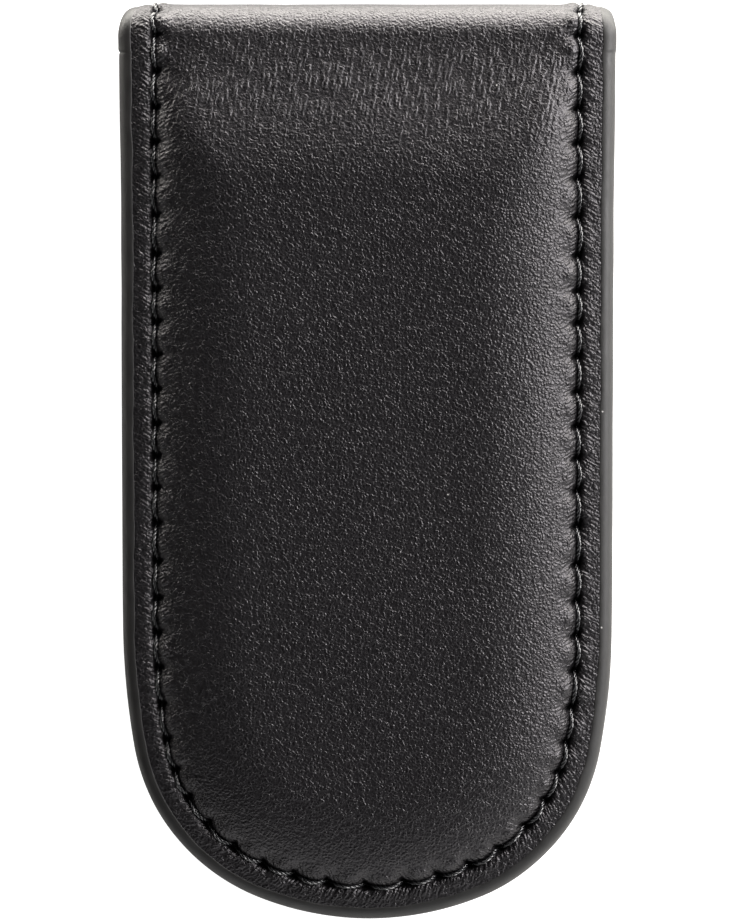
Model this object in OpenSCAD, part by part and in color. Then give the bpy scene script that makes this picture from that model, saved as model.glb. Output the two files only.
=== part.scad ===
// Magnetic leather money clip: two padded leaves joined by a leather fold.
// It lies flat on its back leaf. +Z is up, the fold is at +Y and the round ends are at -Y.
// The origin is under the middle of the closed clip. Units are millimetres.
//
// Each leaf is described once, in leaf coordinates: its height h is counted outwards from
// the plane where the two leaves meet. front_side() and back_side() put it in its place.

/* [Outline] */
// Width over the painted edges
clip_w = 38; // [36:0.5:44]
// Length from the fold to the tip of the round end
clip_l = 71; // [66:0.5:80]
// Radius of the round end at its tip
tip_r = 23; // [20:0.5:30]
// Radius of the round end at its corners
corner_r = 15.5; // [12:0.5:16]
// How far the tip's arc reaches to each side, in degrees
tip_angle = 22.5; // [15:0.5:30]
// Where each corner's arc passes into the side's gentle curve, in degrees from the tip
corner_angle = 80; // [70:1:82]

/* [Layers] */
// Gap between the two linings when the clip is closed
leaf_gap = 0.3; // [0.2:0.05:0.5]
// Thickness of the lining leather
lining_t = 0.75; // [0.6:0.05:0.9]
// Thickness of the stiffening board
board_t = 0.6; // [0.5:0.05:0.8]
// Thickness of the cover leather
cover_t = 0.9; // [0.8:0.05:1.2]
// Thickness of the reinforcing tape inside the fold
tape_t = 0.2; // [0.1:0.05:0.3]
// Thickness of the magnet tray
tray_t = 1.4; // [1.2:0.1:2]
// Thickness of the foam over the tray
foam_t = 0.8; // [0.6:0.1:1.5]

/* [Edge] */
// Depth of the rounded edge
edge_round = 0.75; // [0.5:0.05:1]
// Thickness of the edge paint
paint_t = 0.2; // [0.1:0.05:0.3]
// How far the painted ends of the fold stand out past the leaves
fold_bulge = 0.15; // [0:0.05:0.3]

/* [Pad] */
// Distance from the edge to the foot of the pad
pad_inset = 3; // [2.9:0.1:4]
// Width of the pad's curved shoulder along the sides
pad_shoulder = 7.5; // [5:0.5:9]
// Distance from the fold's outside to the foot of the pad
pad_start = 6.5; // [5:0.5:10]
// Length of the pad's shoulder next to the fold
pad_start_shoulder = 10; // [6:0.5:12]
// Radius of the pad's two corners next to the fold
pad_corner_r = 5; // [3:0.5:6]

/* [Stitching] */
// Distance from the edge to the stitches
stitch_inset = 2.6; // [2.4:0.1:2.8]
// Diameter of the thread
thread_d = 0.44; // [0.3:0.02:0.5]

/* [Magnets] */
// Width of a magnet
magnet_w = 20; // [12:1:22]
// Length of a magnet
magnet_l = 10; // [6:1:12]
// Thickness of a magnet
magnet_t = 1.2; // [1:0.1:1.4]
// Place along the clip of the magnet near the fold
magnet_y_fold = 10; // [6:1:14]
// Place along the clip of the magnet near the round end
magnet_y_tip = -14; // [-16:1:-8]

/* [Hidden] */
$fn = 32;

// Heights of the layers in a leaf, outwards from the middle plane
lining_h = leaf_gap / 2;
board_h = lining_h + lining_t;
cover_h = board_h + board_t;
rim_h = cover_h + cover_t;
tray_top_h = cover_h + tray_t;
foam_top_h = tray_top_h + foam_t;
crown_h = foam_top_h + cover_t;
mid_z = crown_h;

// The fold is half a tube around an axis along X
fold_r = rim_h;
fold_y = clip_l / 2 - fold_r;
tape_r = cover_h - tape_t;
fold_hollow_r = tape_r - lining_t;
ramp_l = 1.2;
ramp_y = fold_y - ramp_l;

// The fold bends at two lines on its outside, halfway up each quarter of the tube
bend_angle = 45;
bend_gap_angle = 1.2;

// Outline: straight sides, then on each side a gentle arc, a corner arc and half of the tip's arc.
// They pass into each other smoothly. Angles are counted from the tip's own direction.
half_w = clip_w / 2;
tip_centre = [0, tip_r - clip_l / 2];
corner_centre = tip_centre + (tip_r - corner_r) * [sin(tip_angle), -cos(tip_angle)];
side_r = (half_w - corner_centre.x - corner_r * sin(corner_angle)) / (1 - sin(corner_angle));
side_centre = corner_centre + (corner_r - side_r) * [sin(corner_angle), -cos(corner_angle)];
arc_step = 5;
arc_least = 4;

// Rounded edge: an ellipse around the middle of the rim's height
rim_mid_h = (lining_h + rim_h) / 2;
rim_half_h = (rim_h - lining_h) / 2;
edge_step = 18;
paint_fit = 0.03;

// Pad: its outside and its hollow are both quarter ellipses
pad_rise = crown_h - rim_h;
hollow_rise = foam_top_h - cover_h;
hollow_tighter = 0.5;
hollow_shoulder = pad_shoulder - hollow_tighter;
pad_step = 15;
pad_fold_y = clip_l / 2 - pad_start;
tray_inset = 6.3;
tray_fold_gap = 3.2;
fit = 0.1;

// Stitching
thread_step = 22.5;
groove_half_w = 0.3;
groove_depth = 0.3;
bobbin_groove_depth = 0.45;
thread_sink = 0.05;
thread_fit = 0.01;
top_thread_h = rim_h - thread_sink;
bobbin_lift = thread_d / 2 + thread_fit;
fold_arc_step = 11.25;
over = 1;

leather_black = [0.07, 0.07, 0.075];
lining_black = [0.1, 0.1, 0.1];
paint_black = [0.16, 0.155, 0.15];
thread_black = [0.05, 0.05, 0.05];
foam_grey = [0.3, 0.3, 0.32];
board_brown = [0.45, 0.36, 0.27];
tray_grey = [0.5, 0.5, 0.48];
tape_white = [0.8, 0.8, 0.77];
nickel = [0.75, 0.74, 0.71];

// ---------- Outlines ----------

// Points on an arc, from one angle to another, counted from -Y towards +X
function arc(centre, r, a0, a1) =
    let (n = max(arc_least, ceil(abs(a1 - a0) / arc_step)))
    [for (i = [0:n]) let (a = a0 + (a1 - a0) * i / n) centre + r * [sin(a), -cos(a)]];

function mirrored(p) = [-p.x, p.y];

// The round end, from the left side to the right side, a distance inset inside the clip's outline
function round_end(inset) = concat(
    arc(mirrored(side_centre), side_r - inset, -90, -corner_angle),
    arc(mirrored(corner_centre), corner_r - inset, -corner_angle, -tip_angle),
    arc(tip_centre, tip_r - inset, -tip_angle, tip_angle),
    arc(corner_centre, corner_r - inset, tip_angle, corner_angle),
    arc(side_centre, side_r - inset, corner_angle, 90)
);

// A whole leaf, cut straight across at fold_side
function leaf_outline(inset, fold_side) = concat(
    [[inset - half_w, fold_side]],
    round_end(inset),
    [[half_w - inset, fold_side]]
);

// The padded area, with round corners next to the fold
function pad_outline(inset, fold_side, r) = concat(
    arc([inset - half_w + r, fold_side - r], r, -180, -90),
    round_end(inset),
    arc([half_w - inset - r, fold_side - r], r, 90, 180)
);

// ---------- Solids from outlines ----------

// Joins outlines of the same number of points at rising heights: sections = [[height, outline], ...]
module loft(sections) {
    n = len(sections[0][1]);
    last = len(sections) - 1;
    polyhedron(
        points = [for (s = sections) for (p = s[1]) [p.x, p.y, s[0]]],
        faces = concat(
            [[for (i = [0:n - 1]) i]],
            [[for (i = [n - 1:-1:0]) last * n + i]],
            [
                for (k = [0:last - 1], i = [0:n - 1])
                let (j = (i + 1) % n, low = k * n, high = low + n)
                each [[low + i, high + i, high + j], [low + i, high + j, low + j]]
            ]
        )
    );
}

// The rounded edge: how high a point of the edge's ellipse is, and how far in from the outline
function edge_angle(h) = asin(max(-1, min(1, (h - rim_mid_h) / rim_half_h)));
function edge_point(a) = [edge_round * (1 - cos(a)), rim_mid_h + rim_half_h * sin(a)];
function edge_curve(a0, a1, inset) =
    let (n = ceil(abs(a1 - a0) / edge_step))
    [for (i = [0:n]) edge_point(a0 + (a1 - a0) * i / n) + [inset, 0]];

// One layer of a leaf between two heights, with its share of the rounded edge
module leaf_layer(h0, h1, fold_side) {
    loft([for (p = edge_curve(edge_angle(h0), edge_angle(h1), paint_t)) [p.y, leaf_outline(p.x, fold_side)]]);
}

// A quarter-ellipse cushion, rising from foot_h
module cushion(foot_inset, shoulder, foot_h, rise, fold_side, fold_shoulder, sink) {
    outlines = [for (a = [0:pad_step:90]) [
        foot_h + rise * sin(a),
        pad_outline(
            foot_inset + shoulder * (1 - cos(a)),
            fold_side - fold_shoulder * (1 - cos(a)),
            pad_corner_r
        )
    ]];
    below = [[foot_h - sink, outlines[0][1]]];
    loft(sink > 0 ? concat(below, outlines) : outlines);
}

// Part of a tube around the fold's axis. Angles run from a leaf (0) over the fold's outside (90).
module fold_sector(r0, r1, a0, a1, x0, x1) {
    mid = (a0 + a1) / 2;
    reach = 2 * fold_r;
    translate([x0, fold_y, 0]) rotate([90, 0, 90]) linear_extrude(x1 - x0) intersection() {
        difference() {
            circle(r1, $fn = 96);
            circle(r0, $fn = 96);
        }
        polygon([[0, 0], for (a = [a0, mid, a1]) reach * [sin(a), cos(a)]]);
    }
}

// The stitches' channel, cut into a face at height h0..h1 along the whole leaf
module stitch_channel(h0, h1) {
    translate([0, 0, h0]) linear_extrude(h1 - h0) difference() {
        polygon(leaf_outline(stitch_inset - groove_half_w, fold_y));
        polygon(leaf_outline(stitch_inset + groove_half_w, fold_y + over));
    }
}

module both_sides() {
    children();
    mirror([1, 0, 0]) children();
}

// Frames to sweep along: [place on the middle plane, direction outwards, direction of the height]
function edge_frame(centre, r, a) =
    let (out = [sin(a), -cos(a), 0]) [[centre.x, centre.y, 0] + r * out, out, [0, 0, 1]];
function edge_frames(centre, r, a0, a1) =
    let (n = max(arc_least, ceil(abs(a1 - a0) / arc_step)))
    [for (i = [0:n]) edge_frame(centre, r, a0 + (a1 - a0) * i / n)];
function end_frames(inset) = concat(
    edge_frames(mirrored(side_centre), side_r - inset, -90, -corner_angle),
    edge_frames(mirrored(corner_centre), corner_r - inset, arc_step - corner_angle, -tip_angle - arc_step),
    edge_frames(tip_centre, tip_r - inset, -tip_angle, tip_angle),
    edge_frames(corner_centre, corner_r - inset, tip_angle + arc_step, corner_angle - arc_step),
    edge_frames(side_centre, side_r - inset, corner_angle, 90)
);
function side_frame(side, inset, y, lift) =
    [[side * (half_w - inset), y, lift], [side, 0, 0], [0, 0, 1]];
function fold_frame(side, inset, a, lift) =
    let (up = [0, sin(a), cos(a)])
    [[side * (half_w - inset), fold_y, 0] + lift * up, [side, 0, 0], up];
function fold_frames(side, inset, a0, a1, lift) =
    let (n = round(abs(a1 - a0) / fold_arc_step))
    [for (i = [0:n]) fold_frame(side, inset, a0 + (a1 - a0) * i / n, lift)];

// Sweeps a section along frames. In the section, x is counted outwards and y is the height.
module sweep(frames, section) {
    n = len(section);
    last = len(frames) - 1;
    polyhedron(
        points = [for (f = frames, p = section) f[0] + p.x * f[1] + p.y * f[2]],
        faces = concat(
            [[for (k = [n - 1:-1:0]) k]],
            [[for (k = [0:n - 1]) last * n + k]],
            [
                for (i = [0:last - 1], k = [0:n - 1])
                let (j = (k + 1) % n, here = i * n, next = here + n)
                each [[here + k, here + j, next + j], [here + k, next + j, next + k]]
            ]
        )
    );
}

// A channel across the fold's leather, along both stitch lines, from radius r0 to r1
module fold_channel(r0, r1, a0, a1) {
    both_sides() translate([half_w - stitch_inset, fold_y, 0]) rotate([0, -90, 0]) rotate([0, 0, a0])
        rotate_extrude(angle = a1 - a0)
            translate([r0, -groove_half_w]) square([r1 - r0, 2 * groove_half_w]);
}

// ---------- The pieces of a leaf ----------

leather_half_w = half_w - paint_t;
ramp_half_w = half_w - edge_round - paint_t;
tape_half_w = half_w - 1.5;
leaf_arc = bend_angle - bend_gap_angle;

module leaf_cover() {
    difference() {
        union() {
            leaf_layer(cover_h, rim_h, fold_y);
            cushion(pad_inset, pad_shoulder, rim_h, pad_rise, pad_fold_y, pad_start_shoulder, cover_t / 2);
            fold_sector(cover_h, fold_r, 0, leaf_arc, -leather_half_w, leather_half_w);
        }
        cushion(pad_inset + cover_t, hollow_shoulder, cover_h, hollow_rise,
            pad_fold_y - cover_t, pad_start_shoulder, over);
        stitch_channel(rim_h - groove_depth, rim_h + over);
        fold_channel(fold_r - groove_depth, fold_r + over, 0, bend_angle);
    }
}

module tray_block(grow, h0, h1) {
    translate([0, 0, h0]) linear_extrude(h1 - h0)
        polygon(pad_outline(tray_inset - grow, pad_fold_y - tray_fold_gap + grow, pad_corner_r - 1));
}

module leaf_foam() {
    difference() {
        cushion(pad_inset + cover_t + fit, hollow_shoulder, cover_h, hollow_rise,
            pad_fold_y - cover_t - fit, pad_start_shoulder, 0);
        tray_block(fit, cover_h - over, tray_top_h);
    }
}

module magnet_blocks(grow, t) {
    for (y = [magnet_y_fold, magnet_y_tip])
        translate([-magnet_w / 2 - grow, y - magnet_l / 2 - grow, 0])
            cube([magnet_w + 2 * grow, magnet_l + 2 * grow, t]);
}

module leaf_tray() {
    difference() {
        tray_block(0, cover_h, tray_top_h);
        translate([0, 0, cover_h - over]) magnet_blocks(fit, tray_t + 2 * over);
    }
}

module leaf_magnets() {
    translate([0, 0, cover_h]) magnet_blocks(0, magnet_t);
}

module leaf_board() {
    leaf_layer(board_h, cover_h, ramp_y);
}

// The lining leaves the board's end and climbs to the fold's hollow: its inner face, raised by h
function ramp_line(h) = [[ramp_y, lining_h + h], [fold_y, fold_hollow_r + h]];

module along_ramp(x0, x1, h0, h1) {
    lower = ramp_line(h0);
    upper = ramp_line(h1);
    translate([x0, 0, 0]) rotate([90, 0, 90]) linear_extrude(x1 - x0)
        polygon([lower[0], lower[1], upper[1], upper[0]]);
}

module leaf_lining() {
    seam_x = half_w - stitch_inset;
    difference() {
        union() {
            leaf_layer(lining_h, board_h, ramp_y);
            along_ramp(-ramp_half_w, ramp_half_w, 0, lining_t);
            fold_sector(fold_hollow_r, tape_r, 0, leaf_arc, -leather_half_w, leather_half_w);
        }
        intersection() {
            stitch_channel(lining_h - over, lining_h + bobbin_groove_depth);
            translate([-clip_w, ramp_y - 2 * clip_l, -over]) cube([2 * clip_w, 2 * clip_l, fold_r]);
        }
        both_sides() along_ramp(seam_x - groove_half_w, seam_x + groove_half_w, -over, bobbin_groove_depth);
        fold_channel(0, fold_hollow_r + bobbin_groove_depth, 0, bend_angle);
    }
}

module leaf_tape() {
    translate([-tape_half_w, ramp_y, tape_r]) cube([2 * tape_half_w, ramp_l, tape_t]);
    fold_sector(tape_r, cover_h, 0, leaf_arc, -tape_half_w, tape_half_w);
}

module leaf_edge_paint() {
    end_y = fold_y - paint_fit;
    frames = concat([side_frame(-1, 0, end_y, 0)], end_frames(0), [side_frame(1, 0, end_y, 0)]);
    sweep(frames, [
        for (p = edge_curve(-90, 90, 0)) [-p.x, p.y],
        for (p = edge_curve(90, -90, paint_t - paint_fit)) [-p.x, p.y]
    ]);
    both_sides() fold_sector(fold_hollow_r, fold_r, 0, leaf_arc, leather_half_w, half_w + fold_bulge);
}

// The thread's section, raised by h
function thread_section(h) =
    [for (a = [0:thread_step:359]) [0, h] + thread_d / 2 * [cos(a), sin(a)]];

// The same for a sweep that starts on the left (-1) or on the right (1) and runs over the fold
function side_section(side, h) =
    let (section = thread_section(h), n = len(section))
    side < 0 ? [for (k = [n - 1:-1:0]) section[k]] : section;

// The needle thread lies sunk in the cover all the way
module leaf_top_thread() {
    sweep(concat(
        fold_frames(-1, stitch_inset, leaf_arc, 0, 0),
        end_frames(stitch_inset),
        fold_frames(1, stitch_inset, 0, leaf_arc, 0)
    ), thread_section(top_thread_h));
}

// The bobbin thread lies sunk in the lining, and climbs with it to the fold's hollow
module leaf_bobbin_thread() {
    sweep(concat(
        fold_frames(-1, stitch_inset, leaf_arc, 0, fold_hollow_r),
        [side_frame(-1, stitch_inset, ramp_y, lining_h)],
        [for (f = end_frames(stitch_inset)) [f[0] + [0, 0, lining_h], f[1], f[2]]],
        [side_frame(1, stitch_inset, ramp_y, lining_h)],
        fold_frames(1, stitch_inset, 0, leaf_arc, fold_hollow_r)
    ), thread_section(bobbin_lift));
}

// ---------- Placing ----------

module front_side() {
    translate([0, 0, mid_z]) children();
}

module back_side() {
    translate([0, 0, mid_z]) mirror([0, 0, 1]) children();
}

module back_cover() { color(leather_black) back_side() leaf_cover(); }
module back_foam() { color(foam_grey) back_side() leaf_foam(); }
module back_tray() { color(tray_grey) back_side() leaf_tray(); }
module back_magnets() { color(nickel) back_side() leaf_magnets(); }
module back_board() { color(board_brown) back_side() leaf_board(); }
module back_lining() { color(lining_black) back_side() leaf_lining(); }
module back_tape() { color(tape_white) back_side() leaf_tape(); }
module back_edge_paint() { color(paint_black) back_side() leaf_edge_paint(); }
module back_top_thread() { color(thread_black) back_side() leaf_top_thread(); }
module back_bobbin_thread() { color(thread_black) back_side() leaf_bobbin_thread(); }

module front_cover() { color(leather_black) front_side() leaf_cover(); }
module front_foam() { color(foam_grey) front_side() leaf_foam(); }
module front_tray() { color(tray_grey) front_side() leaf_tray(); }
module front_magnets() { color(nickel) front_side() leaf_magnets(); }
module front_board() { color(board_brown) front_side() leaf_board(); }
module front_lining() { color(lining_black) front_side() leaf_lining(); }
module front_tape() { color(tape_white) front_side() leaf_tape(); }
module front_edge_paint() { color(paint_black) front_side() leaf_edge_paint(); }
module front_top_thread() { color(thread_black) front_side() leaf_top_thread(); }
module front_bobbin_thread() { color(thread_black) front_side() leaf_bobbin_thread(); }

// ---------- The fold, between its two bend lines ----------

fold_a0 = bend_angle;
fold_a1 = 180 - bend_angle;

module fold_cover() {
    color(leather_black) front_side() difference() {
        fold_sector(cover_h, fold_r, fold_a0, fold_a1, -leather_half_w, leather_half_w);
        fold_channel(fold_r - groove_depth, fold_r + over, 0, 180);
    }
}
module fold_tape() {
    color(tape_white) front_side()
        fold_sector(tape_r, cover_h, fold_a0, fold_a1, -tape_half_w, tape_half_w);
}
module fold_lining() {
    color(lining_black) front_side() difference() {
        fold_sector(fold_hollow_r, tape_r, fold_a0, fold_a1, -leather_half_w, leather_half_w);
        fold_channel(0, fold_hollow_r + bobbin_groove_depth, 0, 180);
    }
}
module fold_edge_paint() {
    color(paint_black) front_side() both_sides()
        fold_sector(fold_hollow_r, fold_r, fold_a0, fold_a1, leather_half_w, half_w + fold_bulge);
}
module fold_top_thread() {
    color(thread_black) front_side() for (side = [-1, 1])
        sweep(fold_frames(side, stitch_inset, fold_a0, fold_a1, 0), side_section(side, top_thread_h));
}
module fold_bobbin_thread() {
    h = fold_hollow_r + bobbin_lift;
    color(thread_black) front_side() for (side = [-1, 1])
        sweep(fold_frames(side, stitch_inset, fold_a0, fold_a1, 0), side_section(side, h));
}

back_cover();
back_foam();
back_tray();
back_magnets();
back_board();
back_lining();
back_tape();
back_edge_paint();
back_top_thread();
back_bobbin_thread();
fold_cover();
fold_tape();
fold_lining();
fold_edge_paint();
fold_top_thread();
fold_bobbin_thread();
front_cover();
front_foam();
front_tray();
front_magnets();
front_board();
front_lining();
front_tape();
front_edge_paint();
front_top_thread();
front_bobbin_thread();
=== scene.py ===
# %% [markdown]
# # A folding leather money clip
#
# Two padded leaves are joined by a leather fold, and magnets inside them hold folded notes. This lesson
# builds its visible skin, its seams and its finishes around a finished mechanical frame. The frame gives
# the sizes, the places and the hinge lines, so everything here is worked out from it.

# %% Load the frame
import math

import bmesh
import bpy
import numpy as np
from mathutils import Matrix, Vector


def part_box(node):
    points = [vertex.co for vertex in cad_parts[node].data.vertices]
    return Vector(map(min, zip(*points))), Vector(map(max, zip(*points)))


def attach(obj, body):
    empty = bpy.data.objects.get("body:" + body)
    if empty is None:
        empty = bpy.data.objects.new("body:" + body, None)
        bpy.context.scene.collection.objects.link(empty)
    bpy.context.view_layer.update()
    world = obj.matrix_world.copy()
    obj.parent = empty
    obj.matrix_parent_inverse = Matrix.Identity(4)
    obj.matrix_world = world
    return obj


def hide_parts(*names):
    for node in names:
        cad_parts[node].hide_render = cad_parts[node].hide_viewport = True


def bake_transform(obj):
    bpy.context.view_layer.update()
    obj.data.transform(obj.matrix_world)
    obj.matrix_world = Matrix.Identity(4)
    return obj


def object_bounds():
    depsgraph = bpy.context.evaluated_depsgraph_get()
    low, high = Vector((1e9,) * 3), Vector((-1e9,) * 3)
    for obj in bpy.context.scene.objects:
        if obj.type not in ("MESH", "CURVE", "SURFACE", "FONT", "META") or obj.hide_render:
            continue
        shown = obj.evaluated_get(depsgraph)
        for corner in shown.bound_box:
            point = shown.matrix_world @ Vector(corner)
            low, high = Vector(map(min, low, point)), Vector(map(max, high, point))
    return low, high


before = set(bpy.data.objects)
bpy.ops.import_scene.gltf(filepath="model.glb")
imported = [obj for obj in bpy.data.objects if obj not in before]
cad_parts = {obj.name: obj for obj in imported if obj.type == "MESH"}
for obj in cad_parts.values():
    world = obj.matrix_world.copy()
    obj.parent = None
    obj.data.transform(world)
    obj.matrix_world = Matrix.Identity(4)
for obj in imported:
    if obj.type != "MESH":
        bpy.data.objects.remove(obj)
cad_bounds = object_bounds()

# %% [markdown]
# ## The clip as flat leather
#
# A leatherworker cuts the clip flat and then folds it, so the script thinks the same way. A point has
# flat coordinates: x across the clip, v along it, and h, its height outwards from the plane where the two
# leaves meet. Past the bend line, v runs on round the fold. One function, `folded`, turns flat coordinates
# into real ones, and every piece is made with it. Lengths are in millimetres until that last step.

# %% Measure the frame
MM = 0.001
box_low, box_high = (np.array(corner) / MM for corner in cad_bounds)
middle_z = (box_low[2] + box_high[2]) / 2
half_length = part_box("fold_cover")[1][1] / MM
SIDES = (("front", 1), ("back", -1))


def front_heights(node):
    """How far a node of the front leaf starts and ends above the plane between the leaves."""
    low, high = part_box(node)
    return low[2] / MM - middle_z, high[2] / MM - middle_z


lining_h = front_heights("front_lining")[0]
board_h, cover_h = front_heights("front_board")
rim_h = front_heights("front_edge_paint")[1]
tray_top_h = front_heights("front_tray")[1]
crown_h = box_high[2] - middle_z
cover_t = crown_h - front_heights("front_foam")[1]
lining_t = board_h - lining_h
fold_r = rim_h
fold_v = half_length - fold_r
board_end_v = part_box("front_board")[1][1] / MM
TAPE_T = 0.2
fold_lining_r = cover_h - TAPE_T
hollow_r = fold_lining_r - lining_t
PAINT_T = 0.2
half_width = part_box("front_board")[1][0] / MM + PAINT_T
print(f"leaf {2 * half_width:.1f} x {2 * half_length:.1f} mm, rim {rim_h - lining_h:.2f} mm thick")

# %% The outline
TIP_R = 23.0
CORNER_R = 15.5
TIP_ANGLE = math.radians(22.5)
CORNER_ANGLE = math.radians(80)


def at_angle(angle):
    """The direction at an angle from straight down towards +x."""
    return np.array([math.sin(angle), -math.cos(angle)])


tip_centre = np.array([0, TIP_R - half_length])
corner_centre = tip_centre + (TIP_R - CORNER_R) * at_angle(TIP_ANGLE)
left_over = half_width - corner_centre[0] - CORNER_R * math.sin(CORNER_ANGLE)
side_r = left_over / (1 - math.sin(CORNER_ANGLE))
side_centre = corner_centre + (CORNER_R - side_r) * at_angle(CORNER_ANGLE)

STITCH_INSET = 2.65
STITCH_COUNT = 59
fold_run = fold_r * math.pi / 2
straight_run = fold_run + fold_v - side_centre[1]
side_run = (side_r - STITCH_INSET) * (math.pi / 2 - CORNER_ANGLE)
corner_run = (CORNER_R - STITCH_INSET) * (CORNER_ANGLE - TIP_ANGLE)
tip_run = (TIP_R - STITCH_INSET) * TIP_ANGLE
seam_length = 2 * (straight_run + side_run + corner_run + tip_run)
stitch_pitch = seam_length / STITCH_COUNT
print(f"seam {seam_length:.1f} mm, {STITCH_COUNT} stitches of {stitch_pitch:.3f} mm")


def outline_frame(s):
    """For distances s along the seam, from the fold's top on the left to its top on the right: the centre
    that the outline turns about, its radius there, and the direction outwards."""
    s = np.asarray(s, float)
    mirrored = s > seam_length / 2
    s = np.where(mirrored, seam_length - s, s)
    past_straight = s - straight_run
    past_side = past_straight - side_run
    past_corner = past_side - corner_run
    zones = [past_straight < 0, past_side < 0, past_corner < 0]
    side_turn = math.pi / 2 - past_straight / (side_r - STITCH_INSET)
    corner_turn = CORNER_ANGLE - past_side / (CORNER_R - STITCH_INSET)
    tip_turn = TIP_ANGLE - past_corner / (TIP_R - STITCH_INSET)
    turn = np.select(zones, [math.pi / 2, side_turn, corner_turn], tip_turn)
    centre_x = np.select(zones, [0.0, -side_centre[0], -corner_centre[0]], 0.0)
    centre_v = np.select(zones, [fold_v + fold_run - s, side_centre[1], corner_centre[1]], tip_centre[1])
    radius = np.select(zones, [half_width, side_r, CORNER_R], TIP_R)
    flip = np.where(mirrored, -1.0, 1.0)
    return centre_x * flip, centre_v, radius, -np.sin(turn) * flip, -np.cos(turn)


STRAIGHT_IN = 8.0


def inside_outline(s, inset):
    """The flat point at a distance inset from the outline. Past STRAIGHT_IN it heads for the middle line."""
    centre_x, centre_v, radius, out_x, out_v = outline_frame(s)
    near = np.minimum(inset, STRAIGHT_IN)
    x = centre_x + (radius - near) * out_x
    v = centre_v + (radius - near) * out_v
    far = np.clip((inset - STRAIGHT_IN) / (half_width - STRAIGHT_IN), 0, 1)
    middle_v = np.maximum(centre_v + (radius - STRAIGHT_IN) * out_v, corner_centre[1])
    return x * (1 - far), v * (1 - far) + middle_v * far


# %% From flat to folded
def folded(x, v, h, side):
    """Real positions in metres. side is 1 for the front leaf and -1 for the back leaf."""
    angle = np.maximum(v - fold_v, 0) / fold_r
    y = np.where(v > fold_v, fold_v + h * np.sin(angle), v)
    z = np.where(v > fold_v, h * np.cos(angle), h)
    return np.stack(np.broadcast_arrays(x, y, middle_z + side * z), axis=-1) * MM


def ease(t):
    """0 below 0, 1 above 1, and a smooth step between."""
    t = np.clip(t, 0, 1)
    return t * t * (3 - 2 * t)


def bell(t):
    return np.exp(-np.square(t))


def soft_noise(x, y, size, seed):
    """Smooth random hills between -1 and 1, about size millimetres apart."""
    lattice = np.random.RandomState(seed).uniform(-1, 1, (64, 64))
    x, y = np.broadcast_arrays(np.asarray(x, float) / size + 500, np.asarray(y, float) / size + 500)
    column, row = np.floor(x).astype(int), np.floor(y).astype(int)
    across, along = ease(x - column), ease(y - row)
    corner = [[lattice[(column + i) % 64, (row + j) % 64] for j in (0, 1)] for i in (0, 1)]
    low = corner[0][0] * (1 - across) + corner[1][0] * across
    high = corner[0][1] * (1 - across) + corner[1][1] * across
    return low * (1 - along) + high * along


# %% [markdown]
# ## Closed shells from two grids
#
# Leather, lining and paint are all thin layers that follow the rim. Each is a grid: its columns stand
# along the seam, and its rings lie side by side from the edge to the middle. A seen face and a hidden
# face share their columns and are joined all round, so the result is closed. The hidden face skips most
# rings, because nobody looks at it.

# %% Grid tools
COLUMNS_PER_STITCH = 16
even_columns = np.linspace(0, seam_length, STITCH_COUNT * COLUMNS_PER_STITCH + 1)
board_end_s = fold_v + fold_run - board_end_v
step_s = board_end_s + np.arange(-0.36, 0.4, 0.06)
seam_columns = np.unique(np.concatenate([even_columns, step_s, seam_length - step_s]).round(4))
LEAVES_APART = 40.0


def in_scene(name, data):
    """An object in the scene that holds a mesh, a light or a camera."""
    made = bpy.data.objects.new(name, data)
    bpy.context.scene.collection.objects.link(made)
    return made


def closed_piece(name, mesh, build, smooth=True):
    """Writes an edited mesh back with outward faces, and puts it in the scene."""
    bmesh.ops.recalc_face_normals(build, faces=build.faces)
    open_edges = sum(not edge.is_manifold for edge in build.edges)
    build.to_mesh(mesh)
    build.free()
    mesh.polygons.foreach_set("use_smooth", [smooth] * len(mesh.polygons))
    triangles = sum(len(face.vertices) - 2 for face in mesh.polygons)
    print(f"{name}: {triangles} triangles, {open_edges} open edges")
    return in_scene(name, mesh)


def mesh_object(name, points, faces, vectors=None, masks=None, smooth=True):
    """A closed mesh object with outward faces. Vectors and masks are attributes that the materials read."""
    mesh = bpy.data.meshes.new(name)
    mesh.from_pydata(points.reshape(-1, 3).tolist(), [], faces)
    for key, values in (vectors or {}).items():
        mesh.attributes.new(key, "FLOAT_VECTOR", "POINT").data.foreach_set("vector", values.ravel())
    for key, values in (masks or {}).items():
        mesh.attributes.new(key, "FLOAT", "POINT").data.foreach_set("value", values.ravel())
    build = bmesh.new()
    build.from_mesh(mesh)
    bmesh.ops.remove_doubles(build, verts=build.verts, dist=0.0005 * MM)
    bmesh.ops.dissolve_degenerate(build, edges=build.edges, dist=0.0001 * MM)
    return closed_piece(name, mesh, build, smooth)


def shell_faces(columns, rings, hidden_rings):
    """Faces of a shell whose seen grid comes first. hidden_rings lists the seen ring over each hidden one."""
    faces = []
    start = columns * rings
    hidden = len(hidden_rings)
    for c in range(columns - 1):
        for r in range(rings - 1):
            a = c * rings + r
            faces.append((a, a + rings, a + rings + 1, a + 1))
        for r in range(hidden - 1):
            a = start + c * hidden + r
            faces.append((a, a + 1, a + hidden + 1, a + hidden))
        a, b = c * rings, start + c * hidden
        faces.append((a, b, b + hidden, a + rings))
    for c in (0, columns - 1):
        for r in range(hidden - 1):
            seen_run = [c * rings + k for k in range(hidden_rings[r], hidden_rings[r + 1] + 1)]
            b = start + c * hidden + r
            faces.append(tuple(seen_run + [b + 1, b]))
    return faces


def band_faces(columns, loop):
    """Faces of a closed band: a loop of points for each column, with a cap at both ends."""
    faces = []
    for c in range(columns - 1):
        for k in range(loop):
            a, b = c * loop + k, c * loop + (k + 1) % loop
            faces.append((a, a + loop, b + loop, b))
    faces.append(tuple(range(loop)))
    faces.append(tuple((columns - 1) * loop + k for k in range(loop)))
    return faces


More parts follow.
